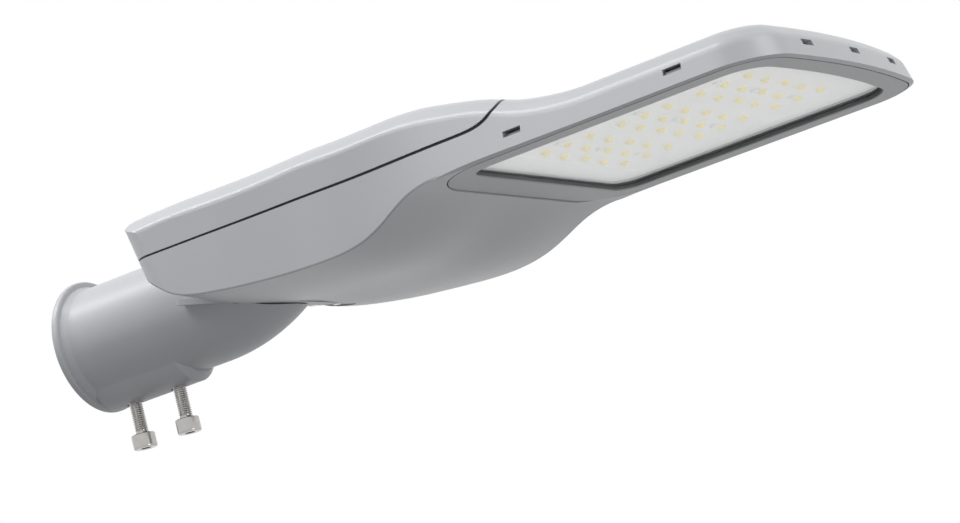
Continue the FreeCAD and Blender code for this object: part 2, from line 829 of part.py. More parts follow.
def make_flange(grow, below):
    """Sloping plate with round corners, parallel to the tray floor, grown all round and downwards."""
    half_w = flange_half_w + grow
    rear = flange_x[0] - grow
    front = flange_x[1] + grow
    plate = prism([
        V(rear, -half_w, flange_low_z(rear) - below),
        V(front, -half_w, flange_low_z(front) - below),
        V(front, -half_w, flange_low_z(front) + flange_t + grow),
        V(rear, -half_w, flange_low_z(rear) + flange_t + grow),
    ], V(0, 2 * half_w, 0))
    upright = [edge for edge in plate.Edges if abs(edge.tangentAt(0).z) > 0.99]
    return plate.makeFillet(flange_corner_r + grow, upright)


def make_pad():
    """Thicker underside of the socket that the clamp screws are tapped into."""
    drop = Z_AXIS * (pad_r - bead_r)
    full_end = drop + X_AXIS * (pad_end_x - pad_run_out)
    ramp = Part.makeCone(pad_r, pad_r - pad_run_out, pad_run_out, full_end, X_AXIS)
    return fuse(cylinder(pad_r, drop + X_AXIS * (bead_len / 2), full_end), [ramp])


def make_bead():
    """Rounded lip round the mouth, flared into the tube."""
    bead = cylinder(bead_r, V(0, 0, 0), V(bead_len, 0, 0))
    mouth = [edge for edge in bead.Edges if edge.Closed and edge.CenterOfMass.x < 1]
    bead = bead.makeFillet(bead_edge_r, mouth)
    back = [edge for edge in bead.Edges if edge.Closed and abs(edge.CenterOfMass.x - bead_len) < 0.1]
    bead = bead.makeFillet(bead_back_r, back)
    flare = Part.makeCone(tube_r + bead_flare, tube_r, bead_flare_len, V(bead_len, 0, 0), X_AXIS)
    return fuse(bead, [flare])


def make_spigot(tray):
    """Pole socket casting, trimmed to the rear wall and belly, with its flange sunk in the floor."""
    seat = tray.translated(V(-spigot_fit, 0, -spigot_fit))
    tube = fuse(bent_tube(tube_r), [make_bead(), make_pad()]).cut(seat)
    stop = cylinder(bore_r + 1, V(bore_depth, 0, 0), V(bore_depth + stop_len, 0, 0))
    stop = stop.cut(cylinder(bore_r - stop_step, V(bore_depth - 1, 0, 0), V(bore_depth + stop_len + 1, 0, 0)))
    hollow = bent_tube(bore_r).cut(stop)
    body = fuse(tube, [make_flange(0.0, 0.0)]).cut(hollow)
    holes = []
    for x in clamp_x:
        holes.append(cylinder(clamp_d / 2 + screw_fit, V(x, 0, -bead_r - 1), V(x, 0, -bore_r + 2)))
        holes.append(Part.makeCone(clamp_d / 2 + clamp_sink, clamp_d / 2, clamp_sink, V(x, 0, -bead_r), Z_AXIS))
    for place in bolt_places():
        holes.append(cylinder(bolt_d / 2 + screw_fit, place - Z_AXIS * 60, place))
    body = body.cut(Part.makeCompound(holes))
    return max(body.Solids, key=lambda solid: solid.Volume)


def make_lens_frame():
    """Window frame with a bevelled opening and the clips that snap into the side wall."""
    frame = plan_solid(frame_rear_x, frame_half_w, frame_nose_x, frame_rear_r,
                       nose_corner_r - frame_edge, rim_z, frame_top_z)
    opening = grown_plan(-glass_lap, rim_z - 1, frame_top_z + 1)
    low = plan_wire(window_rear_x - window_bevel, window_half_w + window_bevel, window_nose_x + window_bevel,
                    window_rear_r + window_bevel, window_nose_r + window_bevel, rim_z)
    high = plan_wire(window_rear_x, window_half_w, window_nose_x, window_rear_r, window_nose_r,
                     rim_z + window_bevel)
    bevel = Part.makeLoft([low, high], True, True)
    frame = frame.cut(opening).cut(bevel)
    half_w = slot_w / 2 - clip_gap
    top = slot_z + slot_h / 2 - clip_gap
    stems = slot_boxes(clip_gap + clip_t, -clip_gap, half_w, frame_top_z - 1, top)
    noses = slot_boxes(clip_gap + clip_t / 2, clip_nose, half_w, slot_z - slot_h / 2 + clip_gap / 2, slot_z)
    return fuse(frame, stems + noses)


def make_glass_gasket(glass):
    """U-shaped seal that wraps the edge of the glass, with a lip that lines the frame's opening."""
    ring = grown_plan(seal_wrap, frame_top_z, glass_z + glass_t + seal_t)
    lip = grown_plan(-glass_lap, rim_z + seal_back, glass_z)
    inside = grown_plan(-glass_lap - seal_lip, rim_z, glass_z + glass_t + 5)
    return fuse(ring, [lip]).cut(inside).cut(glass)


def group_mid(index):
    return leds_mid_x + (index - (board_count - 1) / 2) * group_pitch


def board_half_y():
    return window_half_w - board_side


def board_screw_places():
    """Three screws a board, beside the middle column, at every second row."""
    places = []
    for index in range(board_count):
        for row in range(0, led_rows, 2):
            y = (row - (led_rows - 1) / 2) * led_pitch_y - board_screw_off
            places.append(V(group_mid(index), y, board_z))
    return places


def make_board(index):
    half_x = (group_pitch - board_gap) / 2
    mid = group_mid(index)
    half_y = board_half_y()
    board = box(mid - half_x, mid + half_x, -half_y, half_y, board_z, deck_z)
    holes = [cylinder(board_screw_d / 2 + screw_fit, place - Z_AXIS, place + Z_AXIS * 5)
             for place in board_screw_places()]
    return board.cut(Part.makeCompound(holes))


def make_leds(index):
    """Square packages with domes, in the rows of one board that shift a little in turn."""
    half = led_size / 2
    low = board_z - led_t
    ball = Part.makeSphere(dome_ball_r, V(0, 0, low - dome_h + dome_ball_r))
    dome = ball.common(box(-half, half, -half, half, low - 2 * dome_h, low))
    package = box(-half, half, -half, half, low, board_z).fuse(dome)
    packages = []
    for row in range(led_rows):
        y = (row - (led_rows - 1) / 2) * led_pitch_y
        shift = led_row_shift if row % 2 else 0.0
        for col in range(led_cols):
            x = group_mid(index) + (col - (led_cols - 1) / 2) * led_pitch_x + shift
            packages.append(package.translated(V(x, y, 0)))
    return Part.makeCompound(packages)


def make_board_screws():
    shank = board_t + deck_t - 1.0
    screws = []
    for place in board_screw_places():
        screws.append(screw(place, Z_AXIS, board_screw_d, shank, board_screw_head_d, board_screw_head_h, 2.0))
    return Part.makeCompound(screws)


def make_reflector():
    """White sheet round the boards, cut out over them."""
    sheet = grown_plan(-2.0, board_z - reflector_t, board_z)
    half_x = (board_count * group_pitch - board_gap) / 2 - reflector_lap
    half_y = board_half_y() - reflector_lap
    return sheet.cut(box(leds_mid_x - half_x, leds_mid_x + half_x, -half_y, half_y, 0, 20))


def make_driver():
    """Closed driver case with a fixing tab at each end."""
    half = driver_size * 0.5
    low = driver_seat_z
    case = box(driver_mid.x - half.x, driver_mid.x + half.x, driver_mid.y - half.y, driver_mid.y + half.y,
               low, low + driver_size.z)
    case = case.makeFillet(driver_edge_r, [edge for edge in case.Edges if edge.CenterOfMass.z > low + 1])
    tabs = box(driver_mid.x - half.x - driver_tab_len, driver_mid.x + half.x + driver_tab_len,
               driver_mid.y - half.y, driver_mid.y + half.y, low, low + driver_tab_t)
    holes = [drill(screw_d / 2 + screw_loose, post, low - 1, low + driver_tab_t + 1)
             for post in tray_posts()["driver"]]
    return case.fuse(tabs).removeSplitter().cut(Part.makeCompound(holes))


def make_terminal_block():
    """Three-pole block with a wire funnel and a screw well for each pole, and an ear at each end."""
    half = terminal_size * 0.5
    low = terminal_seat_z
    mid = terminal_mid
    block = box(mid.x - half.x, mid.x + half.x, mid.y - half.y, mid.y + half.y, low, low + terminal_size.z)
    ears = box(mid.x - boss_r, mid.x + boss_r, mid.y - half.y - terminal_ear, mid.y + half.y + terminal_ear,
               low, low + terminal_ear_t)
    cuts = []
    for place in terminal_pole_places():
        cuts.append(cylinder(terminal_wire_r, place - X_AXIS * (half.x + 1), place + X_AXIS * (half.x + 1)))
        top = V(mid.x, place.y, low + terminal_size.z)
        cuts.append(cylinder(terminal_screw_r, top - Z_AXIS * terminal_well, top + Z_AXIS))
    for post in tray_posts()["terminal"]:
        cuts.append(drill(screw_d / 2 + screw_loose, post, low - 1, low + terminal_ear_t + 1))
    return fuse(block, [ears]).cut(Part.makeCompound(cuts))


def terminal_pole_places():
    pitch = terminal_size.y / terminal_poles
    first = terminal_mid.y - terminal_size.y / 2 + pitch / 2
    return [V(terminal_mid.x, first + index * pitch, terminal_seat_z + terminal_wire_z)
            for index in range(terminal_poles)]


def make_terminal_screws():
    """Slotted grub screws, one in each well."""
    screws = []
    for place in terminal_pole_places():
        low = V(place.x, place.y, terminal_seat_z + terminal_size.z - terminal_well)
        body = cylinder(terminal_screw_r, low, low + Z_AXIS * terminal_screw_h)
        slot = box(low.x - 5, low.x + 5, low.y - 0.4, low.y + 0.4, low.z + terminal_screw_h - 1, low.z + 50)
        screws.append(body.cut(slot))
    return Part.makeCompound(screws)


def make_surge_protector():
    half = surge_size * 0.5
    low = surge_seat_z
    mid = surge_mid
    case = box(mid.x - half.x, mid.x + half.x, mid.y - half.y, mid.y + half.y, low, low + surge_size.z)
    case = case.makeFillet(driver_edge_r, [edge for edge in case.Edges if edge.CenterOfMass.z > low + 1])
    tabs = box(mid.x - half.x - surge_tab_len, mid.x + half.x + surge_tab_len, mid.y - boss_r, mid.y + boss_r,
               low, low + surge_tab_t)
    holes = [drill(screw_d / 2 + screw_loose, post, low - 1, low + surge_tab_t + 1)
             for post in tray_posts()["surge"]]
    return case.fuse(tabs).removeSplitter().cut(Part.makeCompound(holes))


def fixing_screws(group, grip):
    """Screws that hold one piece down on its posts."""
    return Part.makeCompound([
        screw(post + Z_AXIS * grip, -Z_AXIS, screw_d, grip + screw_bite, screw_head_d, screw_head_h, 3.0)
        for post in tray_posts()[group]
    ])


def make_gland():
    """Cable gland body: thread through the wall, hexagon and domed cap on the socket side."""
    seat = V(gland_seat_x[0], 0, gland_z)
    body_end = seat - X_AXIS * gland_body_len
    dome = Part.makeCone(gland_af / 2 * 0.95, gland_cable_d / 2 + 2.5, gland_dome_len, body_end, -X_AXIS)
    thread_end = V(gland_seat_x[1] + gland_nut_t + 2, 0, gland_z)
    body = fuse(hexagon(gland_af, body_end, seat), [dome, cylinder(gland_d / 2, seat, thread_end)])
    return body.cut(cylinder(gland_cable_d / 2, body_end - X_AXIS * 30, thread_end + X_AXIS))


def make_gland_nut():
    start = V(gland_seat_x[1], 0, gland_z)
    end = start + X_AXIS * gland_nut_t
    return hexagon(gland_af, start, end).cut(cylinder(gland_d / 2 + screw_fit, start - X_AXIS, end + X_AXIS))


def make_grommet():
    """Rubber ring that lines the lead hole in the deck, with its lower lip sunk into the deck."""
    at = V(grommet_x, driver_mid.y, 0)
    high = deck_top_z + grommet_lip_t
    core = drill(grommet_hole_r - screw_fit, at, deck_z, high)
    lips = [drill(grommet_hole_r + grommet_lip, at, deck_top_z, high),
            drill(grommet_hole_r + grommet_lip, at, deck_z, deck_z + grommet_lip_t)]
    return fuse(core, lips).cut(drill(lead_d / 2 + screw_fit, at, deck_z - 1, high + 1))


def make_breather():
    """Vent plug through the deck, with a slotted cap."""
    seat = V(vent_at.x, vent_at.y, deck_top_z)
    cap = hexagon(vent_head_r * 2, seat, seat + Z_AXIS * vent_head_h)
    stem = cylinder(vent_r, seat - Z_AXIS * deck_t, seat)
    return fuse(cap, [stem]).cut(drill(vent_r * 0.4, vent_at, deck_z - 1, deck_top_z + vent_head_h * 0.6))


def make_input_lead():
    """Sheathed lead from the driver's rear end, behind the bolts, to the terminal block."""
    start = V(driver_mid.x - driver_size.x / 2, driver_mid.y, driver_seat_z + driver_size.z / 2)
    pole = terminal_pole_places()[lead_pole]
    end = V(terminal_mid.x - terminal_size.x / 2, pole.y, pole.z)
    out = V(lead_turn_x, start.y, start.z)
    turn = V(lead_turn_x, end.y, end.z)
    return tube_along([start, out, turn, end], lead_d / 2, 1.5 * lead_d)


def make_output_lead():
    """Sheathed lead from the driver's front end over the divider and into the grommet."""
    start = V(driver_mid.x + driver_size.x / 2, driver_mid.y, driver_seat_z + driver_size.z / 2)
    over = V(grommet_x, driver_mid.y, deck_top_z + 3 * lead_d)
    out = V(start.x + 1.8 * lead_d, start.y, start.z)
    return tube_along([start, out, over, V(over.x, over.y, deck_z)], lead_d / 2, 1.5 * lead_d)


def make_board_leads():
    """Two thin cores from the end of the lead to the first board, close under the deck."""
    edge_x = group_mid(0) - (group_pitch - board_gap) / 2
    cores = []
    for side in (-1, 1):
        start = V(grommet_x - core_d, driver_mid.y + side * core_d * 0.7, deck_z - core_d / 2)
        cores.append(cylinder(core_d / 2, start, V(edge_x, start.y, start.z)))
    return Part.makeCompound(cores)


def main():
    os.makedirs("parts", exist_ok=True)
    tray = tray_body(0.0)
    inner = tray_body(wall)
    outer = fuse(tray, [head_body()])
    cavity = inner.cut(box(divider_x, tool_x, -tool_half_w, tool_half_w, -tool_z, deck_top_z))
    cavity = cavity.cut(box(cavity_front_x, tool_x, -tool_half_w, tool_half_w, -tool_z, tool_z))
    save("housing", make_housing(outer, tray, cavity))
    save("gear_cover", make_cover(tray, inner))
    save("cover_gasket", make_cover_gasket())
    save("spigot", make_spigot(tray))
    save("lens_frame", make_lens_frame())
    glass = grown_plan(0.0, glass_z, glass_z + glass_t)
    save("glass", glass)
    save("glass_gasket", make_glass_gasket(glass))
    for index, place in enumerate(("rear", "middle", "front")):
        save("led_board_" + place, make_board(index))
        save("leds_" + place, make_leds(index))
    save("board_screws", make_board_screws())
    save("reflector", make_reflector())
    clamps = []
    for x in clamp_x:
        seat = V(x, 0, -bore_r - clamp_tip_back - clamp_len)
        clamps.append(screw(seat, Z_AXIS, clamp_d, clamp_len, clamp_head_d, clamp_head_h, clamp_hex_af))
    save("clamp_screws", Part.makeCompound(clamps))
    bolts = []
    washers = []
    for place in bolt_places():
        seat = place + Z_AXIS * washer_t
        length = place.z + washer_t - flange_low_z(place.x)
        bolts.append(screw(seat, -Z_AXIS, bolt_d, length, bolt_head_d, bolt_head_h, bolt_hex_af))
        hole = drill(bolt_d / 2 + screw_fit, place, place.z - 1, seat.z + 1)
        washers.append(cylinder(washer_d / 2, place, seat).cut(hole))
    save("spigot_bolts", Part.makeCompound(bolts))
    save("spigot_washers", Part.makeCompound(washers))
    save("cover_screws", Part.makeCompound([
        screw(place + Z_AXIS * cover_floor, -Z_AXIS, cover_screw_d, cover_screw_len,
              cover_screw_head_d, cover_screw_head_h, 4.0)
        for place in cover_screw_places()
    ]))
    save("driver", make_driver())
    save("driver_screws", fixing_screws("driver", driver_tab_t))
    save("terminal_block", make_terminal_block())
    save("terminal_screws", make_terminal_screws())
    save("terminal_fixings", fixing_screws("terminal", terminal_ear_t))
    save("surge_protector", make_surge_protector())
    save("surge_screws", fixing_screws("surge", surge_tab_t))
    save("earth_screw", fixing_screws("earth", 0.0))
    save("cable_gland", make_gland())
    save("gland_nut", make_gland_nut())
    save("wire_grommet", make_grommet())
    save("breather", make_breather())
    save("input_lead", make_input_lead())
    save("output_lead", make_output_lead())
    save("board_leads", make_board_leads())


main()
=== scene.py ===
import math

import bmesh
import bpy
from mathutils import Matrix, Vector


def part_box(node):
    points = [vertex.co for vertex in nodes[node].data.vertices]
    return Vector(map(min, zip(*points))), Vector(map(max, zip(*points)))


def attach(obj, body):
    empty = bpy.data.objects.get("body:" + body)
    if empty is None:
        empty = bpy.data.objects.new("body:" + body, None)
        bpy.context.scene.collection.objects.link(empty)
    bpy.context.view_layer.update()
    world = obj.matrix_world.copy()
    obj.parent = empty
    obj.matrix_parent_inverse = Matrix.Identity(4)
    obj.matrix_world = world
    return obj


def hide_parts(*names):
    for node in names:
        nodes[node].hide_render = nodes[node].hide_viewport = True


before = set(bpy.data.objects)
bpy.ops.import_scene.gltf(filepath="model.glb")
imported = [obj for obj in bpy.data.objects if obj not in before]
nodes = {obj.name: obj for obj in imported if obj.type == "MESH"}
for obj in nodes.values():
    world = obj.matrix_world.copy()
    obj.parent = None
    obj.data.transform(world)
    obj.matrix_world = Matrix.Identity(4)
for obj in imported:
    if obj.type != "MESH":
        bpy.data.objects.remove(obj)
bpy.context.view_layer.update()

scene = bpy.context.scene
scene.view_settings.view_transform = "Standard"

# Camera of the photograph, in metres and degrees, with lens and sensor in millimetres
VIEW_AZIMUTH = math.radians(29.313)
VIEW_ELEVATION = math.radians(-10.393)
VIEW_ROLL = math.radians(-14.348)
VIEW_DISTANCE = 1.63397
VIEW_TARGET = Vector((0.26356, 0.0, -0.03033))
VIEW_LENS = 113.42
SENSOR_WIDTH = 36.0
CLIP_START = 0.01
CLIP_END = 80.0

# Stage, in metres: world and floor look white or nearly so, and light the object less than they look
WHITE = (1.0, 1.0, 1.0, 1.0)
SHOWN_LIGHT = 1.0
WORLD_LIGHT = 0.40
FLOOR_Z = -5.0
FLOOR_HALF = 35.0
FLOOR_SHOWN = 0.86
FLOOR_COLOUR = (0.49, 0.49, 0.50, 1.0)
FLOOR_ROUGHNESS = 0.9

# Points that the lamps aim at, in metres
OBJECT_MIDDLE = (0.26, 0.0, 0.0)
OBJECT_FRONT = (0.45, 0.0, 0.0)

# Surfaces: the stretch of a noise over which it changes a surface, and the depth of the grain in metres
NOISE_LOW = 0.3
NOISE_HIGH = 0.7
PATCH_DETAIL = 4.0
GRAIN_DETAIL = 2.0
GRAIN_DEPTH = 0.00012
EVEN = (1.0, 1.0, 1.0)
GLASS_IOR = 1.5
GLASS_TINT_LOW = (0.965, 0.985, 0.975, 1.0)
GLASS_TINT_HIGH = (0.985, 0.995, 0.99, 1.0)
GLASS_PATCH = 6.0
GLASS_DETAIL = 2.0

# Painted shadow line along the crease between the tray's wall and belly, in metres. A box holds the crease
# on the +Y side. The line is full in its core, gone at its reach, and fades out before the box's front
CREASE_X = (0.106, 0.312)
CREASE_Y = (0.080, 0.110)
CREASE_Z = (-0.030, 0.010)
CREASE_POINTS = 28
CREASE_CORE = 0.0004
CREASE_REACH = 0.0013
CREASE_FADE = 0.012
# Darkness of the painted shadow at its core
CREASE_SHADOW_TONE = 0.50

# How the crease is found: the least turn at its edge, the least that its faces look outward and down,
# and the distance at which mesh corners are one
CREASE_ANGLE = math.radians(30.0)
CREASE_FACING = 0.4
CREASE_WELD = 1e-6

# Clamp screws, in millimetres, at the solids' places
MM = 0.001
CLAMP_RADIUS = 4.0
CLAMP_HEAD_RADIUS = 7.0
CLAMP_HEAD_HEIGHT = 8.5
CLAMP_HEAD_EASE = 1.0
CLAMP_HEAD_CHAMFER = 0.4
CLAMP_HEX_FLATS = 6.0
CLAMP_HEX_DEPTH = 4.675
CLAMP_HEX_CONE = 0.9
CLAMP_HEX_CHAMFER = 0.35
CLAMP_HEX_FLARE = 0.3
CLAMP_NECK_FLARE = 0.35
CLAMP_NECK_INSET = 0.2
CLAMP_NECK_HEIGHT = 0.45
CLAMP_TIP_CHAMFER = 1.1
CLAMP_CLOSING_RADIUS = 0.02
clamp_low, clamp_high = (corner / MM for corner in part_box("clamp_screws"))
CLAMP_X = (clamp_low.x + CLAMP_HEAD_RADIUS, clamp_high.x - CLAMP_HEAD_RADIUS)
CLAMP_SEAT_Z = clamp_low.z + CLAMP_HEAD_HEIGHT
CLAMP_TOP_Z = clamp_high.z
SCREW_STEPS = 96
EASE_STEPS = 5
SCREW_SMOOTH = math.radians(28.0)
STEEL_SLOT = 0
PAINTED_LIGHT_ROOT_SLOT = 1

# Their thread, in millimetres, with slope, crest and run-out as shares of its depth, and the rows of
# points in each turn. Deeper than THREAD_ROOT it takes a lighter steel, painted light that lifts its shade
THREAD_PITCH = 1.25
THREAD_DEPTH = 0.75
THREAD_ROOT = 0.45
THREAD_FROM_SEAT = 1.2
THREAD_FROM_TOP = 0.8
THREAD_SLOPE = 1.25
THREAD_CREST = 0.1
THREAD_RUN_OUT = 0.35
THREAD_ROWS = 8

# Light sources, in millimetres: every other row stands back, and each box of solids gives the grid
LED_BOARDS = ("rear", "middle", "front")
LED_ROWS = 5
LED_COLUMNS = 3
LED_ROW_BACK = 1.1
LED_SIZE = 5.4
LED_BASE = 0.4
LED_EDGE = 0.12
DOME_STEPS = 24
DOME_RINGS = 6
LED_SMOOTH = math.radians(40.0)
PACKAGE_SLOT = 0
PHOSPHOR_SLOT = 1


def fill(tree, node, inputs):
    """Sets a node's inputs, each to a plain value or to another node's output."""
    for name, value in inputs.items():
        if isinstance(value, bpy.types.NodeSocket):
            tree.links.new(value, node.inputs[name])
        else:
            node.inputs[name].default_value = value


def add(tree, kind, inputs=None, **settings):
    """New node with its settings and inputs."""
    node = tree.nodes.new(kind)
    for name, value in settings.items():
        setattr(node, name, value)
    fill(tree, node, inputs or {})
    return node


def number(tree, operation, *values):
    """Result of one operation on outputs or plain numbers."""
    return add(tree, "ShaderNodeMath", dict(enumerate(values)), operation=operation).outputs["Value"]


def show_mix(tree, output, factor, first, second):
    """Shows the first shader where the factor is 0, and the second where it is 1."""
    mix = add(tree, "ShaderNodeMixShader", {"Fac": factor, 1: first, 2: second})
    fill(tree, tree.nodes[output], {"Surface": mix.outputs["Shader"]})


def noise(tree, scale, detail, stretch=EVEN):
    """Noise in the object's own metres, stretched where asked."""
    place = add(tree, "ShaderNodeTexCoord").outputs["Object"]
    mapping = add(tree, "ShaderNodeMapping", {"Vector": place, "Scale": stretch})
    texture = add(tree, "ShaderNodeTexNoise", {
        "Vector": mapping.outputs["Vector"],
        "Scale": scale,
        "Detail": detail,
    })
    return texture.outputs["Fac"]


def ramp(tree, factor, low, high):
    """Colour that runs from low to high over the middle of a noise."""
    node = add(tree, "ShaderNodeValToRGB", {"Fac": factor})
    start, end = node.color_ramp.elements
    start.position = NOISE_LOW
    start.color = low
    end.position = NOISE_HIGH
    end.color = high
    return node.outputs["Color"]


def span(tree, factor, low, high):
    """Number that runs from low to high over the middle of a noise."""
    node = add(tree, "ShaderNodeMapRange", {
        "Value": factor,
        "From Min": NOISE_LOW,
        "From Max": NOISE_HIGH,
        "To Min": low,
        "To Max": high,
    })
    return node.outputs["Result"]


def bump(tree, factor, strength, distance):
    """Normal of a surface with the noise as its relief."""
    node = add(tree, "ShaderNodeBump", {"Height": factor, "Strength": strength, "Distance": distance})
    return node.outputs["Normal"]


def tone(colour, factor):
    """The colour, lighter or darker by a factor."""
    return tuple(min(1.0, channel * factor) for channel in colour) + (1.0,)


def new_material(name):
    """New material, with its node tree and its shader."""
    material = bpy.data.materials.new(name)
    material.use_nodes = True
    tree = material.node_tree
    return material, tree, tree.nodes["Principled BSDF"]


def surface(name, colour, vary, roughness, patch=22.0, grain=900.0, grain_bump=0.1, metal=0.0,
            specular=0.5, stretch=EVEN):
    """Surface with patches of tone, uneven gloss and a fine grain, at so many patches or grains a metre."""
    material, tree, shader = new_material(name)
    patches = noise(tree, patch, PATCH_DETAIL, stretch)
    fine = noise(tree, grain, GRAIN_DETAIL, stretch)
    fill(tree, shader, {
        "Base Color": ramp(tree, patches, tone(colour, 1 - vary), tone(colour, 1 + vary)),
        "Roughness": span(tree, fine, *roughness),
        "Normal": bump(tree, fine, grain_bump, GRAIN_DEPTH),
        "Metallic": metal,
        "Specular IOR Level": specular,
    })
    return material


def glass_material():
    """Clear flat glass that lets lamps through."""
    material, tree, shader = new_material("window_glass")
    smear = noise(tree, GLASS_PATCH, GLASS_DETAIL)
    fill(tree, shader, {
        "Base Color": ramp(tree, smear, GLASS_TINT_LOW, GLASS_TINT_HIGH),
        "Transmission Weight": 1.0,
        "IOR": GLASS_IOR,
        "Roughness": 0.0,
    })
    lamp_rays = add(tree, "ShaderNodeLightPath").outputs["Is Shadow Ray"]
    clear = add(tree, "ShaderNodeBsdfTransparent")
    show_mix(tree, "Material Output", lamp_rays, shader.outputs["BSDF"], clear.outputs["BSDF"])
    return material


def is_crease(edge):
    """Whether an edge stands out sharply between a face that looks to +Y and one that looks down."""
    if len(edge.link_faces) != 2 or not edge.is_convex or edge.calc_face_angle() < CREASE_ANGLE:
        return False
    outward = max(face.normal.y for face in edge.link_faces)
    downward = -min(face.normal.z for face in edge.link_faces)
    return outward >= CREASE_FACING and downward >= CREASE_FACING


def in_crease_box(place):
    """Whether a point lies where the crease runs, on the +Y side."""
    x, y, z = place
    return CREASE_X[0] < x < CREASE_X[1] and y > CREASE_Y[0] and z < CREASE_Z[1]


def crease_places(piece):
    """Points along the sharp lower edge of the wall, from the rear to the front of the housing."""
    shape = bmesh.new()
    shape.from_mesh(piece.data)
    bmesh.ops.remove_doubles(shape, verts=shape.verts, dist=CREASE_WELD)
    corners = set()
    for edge in shape.edges:
        if is_crease(edge):
            corners.update(tuple(corner.co) for corner in edge.verts)
    shape.free()
    places = sorted(filter(in_crease_box, corners))
    last = len(places) - 1
    return [places[round(last * step / (CREASE_POINTS - 1))] for step in range(CREASE_POINTS)]


def eased(tree, value, low, high):
    """Number that runs softly from 0 at low to 1 at high."""
    limits = {"Value": value, "From Min": low, "From Max": high}
    return add(tree, "ShaderNodeMapRange", limits, interpolation_type="SMOOTHSTEP").outputs["Result"]


def share(value, limits):
    """Where a value lies between two limits, from 0 to 1."""
    return (value - limits[0]) / (limits[1] - limits[0])


def curve_of(tree, along, pairs, limits):
    """Value of a smooth curve through pairs of X and value, at a share of the way along the crease."""
    node = add(tree, "ShaderNodeFloatCurve", {"Value": along})
    curve = node.mapping.curves[0]
    places = [(share(x, CREASE_X), share(value, limits)) for x, value in pairs]
    curve.points[0].location = places[0]
    curve.points[1].location = places[-1]
    for place in places[1:-1]:
        curve.points.new(*place)
    node.mapping.update()
    above_low = number(tree, "MULTIPLY", node.outputs["Value"], limits[1] - limits[0])
    return number(tree, "ADD", above_low, limits[0])


def paint_crease_shadow(material, places):
    """Darkens the paint close to the crease on both sides, as a painted shadow line at the casting's
    crease.
    """
    tree = material.node_tree
    shader = tree.nodes["Principled BSDF"]
    paint_colour = shader.inputs["Base Color"].links[0].from_socket
    place = add(tree, "ShaderNodeTexCoord").outputs["Object"]
    axes = add(tree, "ShaderNodeSeparateXYZ", {"Vector": place}).outputs
    from_rear = number(tree, "SUBTRACT", axes["X"], CREASE_X[0])
    along = number(tree, "DIVIDE", from_rear, CREASE_X[1] - CREASE_X[0])
    crease_y = curve_of(tree, along, [(x, y) for x, y, z in places], CREASE_Y)
    crease_z = curve_of(tree, along, [(x, z) for x, y, z in places], CREASE_Z)
    aside = number(tree, "SUBTRACT", number(tree, "ABSOLUTE", axes["Y"]), crease_y)
    above = number(tree, "SUBTRACT", axes["Z"], crease_z)
    aside_squared = number(tree, "MULTIPLY", aside, aside)
    above_squared = number(tree, "MULTIPLY", above, above)
    distance = number(tree, "SQRT", number(tree, "ADD", aside_squared, above_squared))
    away = eased(tree, distance, CREASE_CORE, CREASE_REACH)
    past_front = eased(tree, axes["X"], CREASE_X[1] - CREASE_FADE, CREASE_X[1])
    unshadowed = number(tree, "MAXIMUM", away, past_front)
    shade = add(tree, "ShaderNodeMapRange", {"Value": unshadowed, "To Min": CREASE_SHADOW_TONE})
    colours = {"Factor": 1.0, "A": paint_colour, "B": shade.outputs["Result"]}
    mix = add(tree, "ShaderNodeMix", colours, data_type="RGBA", blend_type="MULTIPLY")
    fill(tree, shader, {"Base Color": mix.outputs["Result"]})


# Materials
paint = surface("housing_paint", colour=(0.50, 0.51, 0.53), vary=0.012, roughness=(0.30, 0.38))
# Painted shadow line along the housing's crease
paint_crease_shadow(paint, crease_places(nodes["housing"]))
socket_paint = surface("socket_paint", colour=(0.47, 0.48, 0.50), vary=0.02, roughness=(0.36, 0.46),
                       grain_bump=0.16)
frame_paint = surface("frame_paint", colour=(0.41, 0.42, 0.43), vary=0.012, roughness=(0.34, 0.42))
rubber = surface("seal_rubber", colour=(0.016, 0.016, 0.017), vary=0.15, roughness=(0.55, 0.7),
                 grain=1500.0)
window_rubber = surface("window_rubber", colour=(0.16, 0.16, 0.165), vary=0.06, roughness=(0.5, 0.65),
                        grain=1500.0)
board_white = surface("board_white", colour=(0.86, 0.86, 0.86), vary=0.02, roughness=(0.38, 0.5),
                      patch=60.0, grain=1400.0, grain_bump=0.04)
sheet_white = surface("reflector_white", colour=(0.86, 0.86, 0.86), vary=0.015, roughness=(0.45, 0.55),
                      patch=40.0, grain_bump=0.03)
# Painted light: a lighter, rougher copy of the screw steel for the thread's roots, lifting their shade
thread_root_painted_light = surface("thread_root_painted_light", colour=(0.58, 0.57, 0.555), vary=0.1, roughness=(0.3, 0.45),
                      patch=500.0, grain=2400.0, metal=1.0)
steel = surface("screw_steel", colour=(0.47, 0.46, 0.445), vary=0.05, roughness=(0.12, 0.22),
                patch=300.0, grain=2400.0, grain_bump=0.02, metal=1.0)
bright_steel = surface("board_screw_steel", colour=(0.80, 0.80, 0.79), vary=0.03, roughness=(0.34, 0.46),
                       patch=300.0, grain_bump=0.02, metal=1.0)
brass = surface("earth_brass", colour=(0.70, 0.50, 0.20), vary=0.06, roughness=(0.25, 0.4),
                patch=400.0, metal=1.0)
case_metal = surface("driver_case", colour=(0.60, 0.61, 0.62), vary=0.03, roughness=(0.32, 0.45),
                     metal=1.0, stretch=(1.0, 12.0, 12.0))
nylon = surface("terminal_nylon", colour=(0.70, 0.69, 0.63), vary=0.02, roughness=(0.42, 0.55))
dark_moulding = surface("surge_moulding", colour=(0.05, 0.05, 0.055), vary=0.1, roughness=(0.4, 0.55))
black_nylon = surface("gland_nylon", colour=(0.03, 0.03, 0.033), vary=0.1, roughness=(0.38, 0.5))
sheath = surface("lead_sheath", colour=(0.02, 0.02, 0.02), vary=0.12, roughness=(0.45, 0.6))
core_sheath = surface("core_sheath", colour=(0.55, 0.54, 0.52), vary=0.05, roughness=(0.4, 0.55))
phosphor = surface("led_phosphor", colour=(0.94, 0.72, 0.0), vary=0.04, roughness=(0.5, 0.6),
                   patch=500.0, grain=2500.0, specular=0.1)
